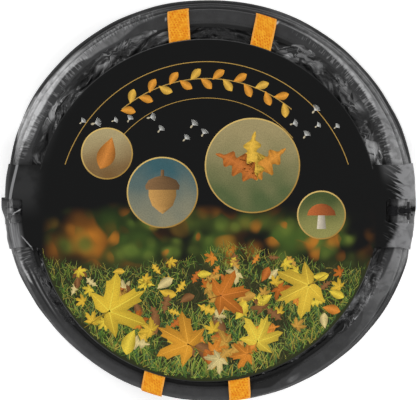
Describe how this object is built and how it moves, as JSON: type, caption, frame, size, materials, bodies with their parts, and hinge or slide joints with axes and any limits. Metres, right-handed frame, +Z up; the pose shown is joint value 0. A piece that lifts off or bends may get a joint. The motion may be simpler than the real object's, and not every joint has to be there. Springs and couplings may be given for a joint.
{
  "type": "garden waste bag",
  "caption": "Pop-up garden waste bag collapsed to a flat round pack, with spring hoops, spiral wire, webbing handles, toggle closures and a round display card.",
  "frame": {"origin": "centre of the base rim on the plane that the collapsed bag lies on", "axes": "+Z up through the pack from its back to the card, +X towards the right-hand toggle closure, +Y towards the back handle"},
  "size_m": [0.55, 0.5372, 0.0437],
  "materials": {
    "coated_cloth": "coated woven polyester, slight sheen",
    "hem_cloth": "coated woven polyester, matte",
    "spring_wire": "drawn spring steel",
    "ferrule": "crimped",
    "orange_webbing": "woven polypropylene webbing",
    "black_webbing": "woven polypropylene webbing",
    "elastic_cord": "braided elastic",
    "toggle_plastic": "moulded",
    "display_card": "printed and varnished"
  },
  "bodies": {
    "base": {"base_cloth": "coated_cloth", "base_hem": "hem_cloth", "base_hoop_wire": "spring_wire", "base_ferrule": "ferrule", "base_handle_anchor_left": "orange_webbing", "base_handle_anchor_right": "orange_webbing", "wall_cloth": "coated_cloth", "spiral_hem": "hem_cloth", "spiral_wire": "spring_wire", "spiral_end_cap_lower": "toggle_plastic", "closure_tab_left": "black_webbing", "closure_tab_right": "black_webbing", "closure_loop_left": "elastic_cord", "closure_loop_right": "elastic_cord"},
    "top": {"top_hem": "hem_cloth", "top_hoop_wire": "spring_wire", "top_ferrule": "ferrule", "spiral_end_cap_upper": "toggle_plastic", "handle_anchor_back_left": "orange_webbing", "handle_anchor_back_right": "orange_webbing", "handle_anchor_front_left": "orange_webbing", "handle_anchor_front_right": "orange_webbing", "closure_patch_left": "black_webbing", "closure_patch_right": "black_webbing"},
    "handle_back": {"handle_back": "orange_webbing"},
    "handle_front": {"handle_front": "orange_webbing"},
    "base_handle": {"base_handle": "orange_webbing"},
    "closure_left": {"closure_strap_left": "black_webbing", "toggle_left": "toggle_plastic"},
    "closure_right": {"closure_strap_right": "black_webbing", "toggle_right": "toggle_plastic"},
    "card": {"display_card": "display_card"}
  },
  "joints": [
    {"name": "pop_up", "type": "slide", "parent": "base", "child": "top", "axis": [0, 0, 1], "range_m": [0, 0.71], "deforming": ["wall_cloth", "spiral_hem", "spiral_wire", "closure_loop_left", "closure_loop_right"]},
    {"name": "handle_back_fold", "type": "hinge", "parent": "top", "child": "handle_back", "pos_m": [0.01755, 0.24446, 0.04177], "axis": [-0.9976, 0.0698, 0], "range_deg": [0, 175], "deforming": ["display_card"]},
    {"name": "handle_front_fold", "type": "hinge", "parent": "top", "child": "handle_front", "pos_m": [-0.01755, -0.25746, 0.04177], "axis": [0.9976, -0.0698, 0], "range_deg": [0, 175], "deforming": ["display_card"]},
    {"name": "base_handle_fold", "type": "hinge", "parent": "base", "child": "base_handle", "pos_m": [-0.01606, -0.22966, 0.00255], "axis": [-0.9976, 0.0698, 0], "range_deg": [0, 110]},
    {"name": "closure_left_lift", "type": "hinge", "parent": "top", "child": "closure_left", "pos_m": [-0.25728, -0.0145, 0.04138], "axis": [0, 1, 0], "range_deg": [0, 110]},
    {"name": "closure_right_lift", "type": "hinge", "parent": "top", "child": "closure_right", "pos_m": [0.25728, -0.0145, 0.04138], "axis": [0, -1, 0], "range_deg": [0, 110]},
    {"name": "card_lift", "type": "slide", "parent": "top", "child": "card", "axis": [0, 0, 1], "range_m": [0, 0.15]}
  ]
}
